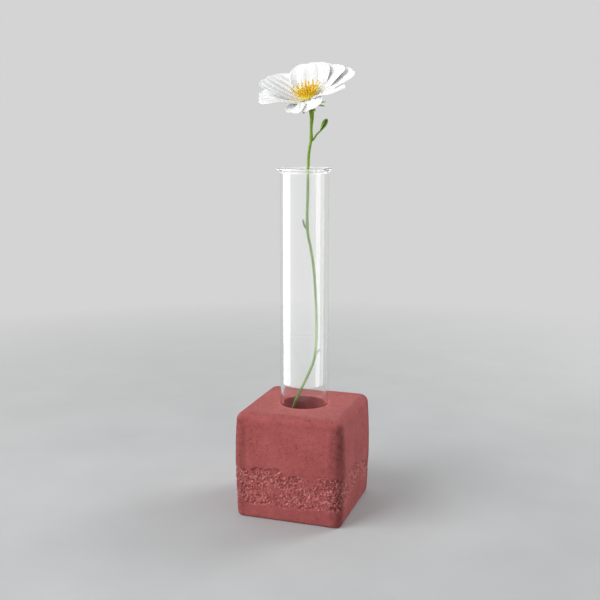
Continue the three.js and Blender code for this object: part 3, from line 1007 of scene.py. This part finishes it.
def make_petal(petal, seed, skin):
    """One petal: a thin closed sheet, thinner still towards its edge."""
    along, across = ((64, 56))
    s, t = np.meshgrid(
        np.linspace(0, 1, along + 1), np.linspace(-1, 1, across + 1), indexing="ij"
    )
    middle, groove = petal_sheet(petal, s, t, seed)
    normal = np.cross(np.gradient(middle, axis=0), np.gradient(middle, axis=1))
    normal /= np.maximum(np.linalg.norm(normal, axis=2, keepdims=True), 1e-9)
    edge = np.minimum(np.minimum(1 - np.abs(t), 1 - s) * 9, 1)
    half_thickness = (0.045 + 0.1 * np.sqrt(edge) + 0.05 * (1 - s))[..., None]
    points, faces = sheet_solid(middle, normal, half_thickness)
    name, azimuth = petal[:2]
    place = HEAD_FRAME @ Matrix.Rotation(math.radians(azimuth), 4, "Z")
    piece = make_piece(
        "white_" + name, points, faces, skin, "flower", name, place
    )
    root = (1 - eased(s, 0.02, 0.3)).ravel()
    for label, values in (("groove", groove.ravel()), ("root", root)):
        add_layer(piece, label, np.concatenate([values, values]))


def make_petals():
    """All petals, each with pleats of its own."""
    skin = petal_skin()
    for index, petal in enumerate(PETALS):
        make_petal(petal, 11 + index, skin)


def disc_skin():
    """Golden florets and filaments, paler at the dome's foot and deeper where pollen lies."""
    skin = Surface("disc_skin", Roughness=0.7, Specular_IOR_Level=0.2)
    dust = skin.noise(0.35, 3, 0.6)
    tint = skin.mixed(skin.ramp(dust, 0.35, 0.7), linear(252, 214, 46), linear(255, 236, 96))
    tint = skin.mixed(skin.attribute("pale"), tint, linear(226, 228, 196))
    tint = skin.mixed(skin.attribute("pollen"), tint, linear(224, 170, 36))
    return skin.paint(Base_Color=tint, Normal=skin.bump(dust, 0.1))


def anther_skin():
    """Yellow along the filaments, and a deeper pollen yellow at the anthers' tips."""
    skin = Surface("anther_skin", Roughness=0.7, Specular_IOR_Level=0.2)
    dust = skin.noise(0.22, 2, 0.6)
    tint = skin.mixed(skin.ramp(dust, 0.35, 0.7), linear(252, 216, 54), linear(255, 238, 108))
    tip = skin.ramp(skin.attribute("tip"), 0.8, 0.9)
    tint = skin.laid_over(tint, tip, 0.7, linear(222, 168, 30))
    return skin.paint(Base_Color=tint, Normal=skin.bump(dust, 0.08))


DISC_RADIUS = 3.9
DISC_TOP = 3.6
DISC_SHOULDER = 2.2
DISC_FOOT = -2.7
GOLDEN_ANGLE = math.radians(137.508)
FLORETS = 110
FILAMENTS = 150


def disc_height(radius):
    """How high the dome stands at a distance from its axis."""
    dome = math.sqrt(max(0, 1 - (radius / DISC_RADIUS) ** 2))
    return DISC_SHOULDER + (DISC_TOP - DISC_SHOULDER) * dome


def ball(centre, radius, stretch, sides=8, rings=6):
    """Points and faces of a small ball, stretched along +Z."""
    profile = [(0, -radius * stretch)]
    profile += [
        (radius * math.sin(a), -radius * stretch * math.cos(a))
        for a in np.linspace(0, math.pi, rings + 1)[1:-1]
    ]
    profile.append((0, radius * stretch))
    points, faces = turned(profile, sides)
    return [(x + centre[0], y + centre[1], z + centre[2]) for x, y, z in points], faces


def make_disc():
    """A dome packed with small closed florets in the spiral that daisies grow them in."""
    profile = [
        (0, DISC_FOOT), (2.0, DISC_FOOT), (2.05, 0.2), (2.6, 0.9), (3.5, 1.5), (3.75, 1.95),
    ]
    profile += [(radius, disc_height(radius)) for radius in (3.7, 3.2, 2.4, 1.4)]
    profile.append((0, DISC_TOP - 0.1))
    points, faces = turned(profile, 48)
    for i in range(FLORETS):
        radius = 3.62 * math.sqrt((i + 0.5) / FLORETS)
        angle = i * GOLDEN_ANGLE
        size = 0.24 + 0.1 * radius / DISC_RADIUS
        centre = (radius * math.cos(angle), radius * math.sin(angle), disc_height(radius) - 0.06)
        more, joins = ball(centre, size, 1.25)
        faces += [tuple(k + len(points) for k in f) for f in joins]
        points += more
    pollen = [0.0] * len(points) + add_filaments(points, faces)
    piece = make_piece(
        "floret_disc", points, faces, disc_skin(), "flower", "flower_disc",
        HEAD_FRAME,
    )
    heights = np.array(points)[:, 2]
    add_layer(piece, "pale", 1 - eased(heights, 0.9, 2.2))
    add_layer(piece, "pollen", pollen)


def add_filaments(points, faces):
    """Short fine filaments that crowd the dome between the stamens and fan outwards.

    Adds them to the points and faces, and gives back how much pollen each point carries."""
    draw = random.Random(77)
    fan = math.radians(52)
    pollen = []
    for i in range(FILAMENTS):
        share = math.sqrt((i + 0.5) / FILAMENTS)
        radius = 3.7 * share
        angle = i * GOLDEN_ANGLE + draw.uniform(-0.1, 0.1)
        tilt = fan * share + draw.uniform(-0.1, 0.1)
        length = draw.uniform(1.3, 3.0) + 1.3 * share
        foot = Vector((radius, 0, disc_height(radius) - 0.4))
        lean = Vector((math.sin(tilt), draw.uniform(-0.12, 0.12), math.cos(tilt)))
        knots = [foot, foot + lean * length * 0.5 + Vector((-0.12, 0, 0.1)), foot + lean * length]
        turn = Matrix.Rotation(angle, 3, "Z")
        path = smooth_path([turn @ k for k in knots], 8)
        more, joins = swept(path, filament_radius, 6)
        faces += [tuple(k + len(points) for k in f) for f in joins]
        points += more
        dusted = 0.8 if draw.random() < 0.6 else 0.2
        pollen += [dusted * (np.linalg.norm(np.subtract(p, path[-1])) < 0.75) for p in more]
    return pollen


def filament_radius(share, angle):
    """A fine filament's radius along its length, with a small head near its end."""
    head = math.exp(-(((share - 0.93) / 0.09) ** 2))
    return 0.15 - 0.03 * share + 0.13 * head


def node_axis(node):
    """The two ends of a slender CAD node, in millimetres, the one nearest the disc first."""
    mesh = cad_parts[node].data
    points = np.array([v.co for v in mesh.vertices], float) / MM
    centre = points.mean(axis=0)
    direction = np.linalg.svd(points - centre)[2][0]
    along = (points - centre) @ direction
    ends = [Vector(centre + direction * along.min()), Vector(centre + direction * along.max())]
    heart = HEAD_FRAME @ Vector((0, 0, 1.5))
    return sorted(ends, key=lambda end: (end - heart).length)


def make_stamen(node, number, skin):
    """A bent filament with a two-lobed, grooved anther at its end."""
    foot, tip = node_axis(node)
    draw = random.Random(500 + number)
    along = (tip - foot).normalized()
    sideways = along.orthogonal().normalized()
    sideways.rotate(Matrix.Rotation(draw.uniform(0, 2 * math.pi), 3, along))
    length = (tip - foot).length
    rooted, anther_length = 0.5, 1.1
    foot = foot - along * rooted
    bend = sideways * draw.uniform(0.1, 0.32)
    knots = [foot, foot.lerp(tip, 0.35) + bend * 0.8, foot.lerp(tip, 0.7) + bend * 0.6, tip]
    anther_start = 1 - anther_length / (length + rooted)

    def radius_at(share, angle):
        if share < anther_start:
            return 0.22 - 0.06 * share
        x = (share - anther_start) / (1 - anther_start)
        lobe = 1 + 0.22 * math.cos(2 * angle) + 0.08 * math.cos(4 * angle)
        return 0.14 + 0.24 * math.sin(math.pi * min(x, 0.93)) ** 0.55 * lobe

    points, faces = swept(smooth_path(knots, 26), radius_at, 12)
    piece = make_piece(
        "pollen_" + node, points, faces, skin, "flower", node
    )
    share = np.linalg.norm(np.array(points) - np.array(foot), axis=1) / (tip - foot).length
    add_layer(piece, "tip", np.clip(share, 0, 1))


def make_stamens():
    """One stamen for each stamen node of the frame."""
    skin = anther_skin()
    stamens = [node for node in sorted(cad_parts) if node.startswith("stamen_")]
    for number, node in enumerate(stamens):
        make_stamen(node, number, skin)


CALYX_TOP = -3.0
CALYX_FOOT = -5.6
BRACTS = 8


def make_calyx(skin):
    """The ribbed green cup under the petals."""
    top, bottom = CALYX_TOP, CALYX_FOOT
    profile = [
        (0, bottom - 0.15), (1.0, bottom - 0.1), (1.25, bottom + 0.2), (1.5, bottom + 0.8),
        (2.1, bottom + 1.6), (2.6, bottom + 2.3), (2.66, top - 0.1), (2.4, top), (0, top),
    ]

    def ribs(angle, index):
        on_the_side = 1 < index < 7
        return 1 - 0.05 * (0.5 + 0.5 * math.cos(BRACTS * angle)) * on_the_side

    points, faces = turned(profile, 64, ribs)
    make_piece(
        "calyx_cup", points, faces, skin, "flower", "receptacle", HEAD_FRAME
    )


def make_bract(index, skin):
    """A narrow pointed blade, folded along its middle and curling down at its tip."""
    root, length, width = 2.3, 5.4, 1.5
    droop = math.tan(math.radians(8))
    s, t = np.meshgrid(np.linspace(0, 1, 17), np.linspace(-1, 1, 9), indexing="ij")
    half = width / 2 * np.sin(math.pi * np.clip(0.22 + 0.78 * s, 0, 1)) ** 0.7 + 0.03
    out = root + (length + 0.6) * s
    fold = 0.22 * np.abs(t) * half
    z = CALYX_TOP - 0.35 - droop * length * s * s + fold
    middle = np.stack([out, half * t, z], axis=-1)
    points, faces = sheet_solid(middle, np.array((0, 0, 1)), half_thickness=0.13)
    azimuth = math.radians(16 + 360 / BRACTS * index)
    place = HEAD_FRAME @ Matrix.Rotation(azimuth, 4, "Z")
    node = f"bract_{index + 1}"
    make_piece("green_" + node, points, faces, skin, "flower", node, place)


# ------------------------------------------------------------------ everything together

make_camera()
make_studio()
make_block()
make_reflector_cards(make_tube())

green_skin = stem_skin()
make_stem(green_skin)
make_shoots(green_skin)
dark_green_skin = leaf_skin()
make_bud(dark_green_skin)
make_calyx(dark_green_skin)
for bract_index in range(BRACTS):
    make_bract(bract_index, dark_green_skin)
make_petals()
make_disc()
make_stamens()
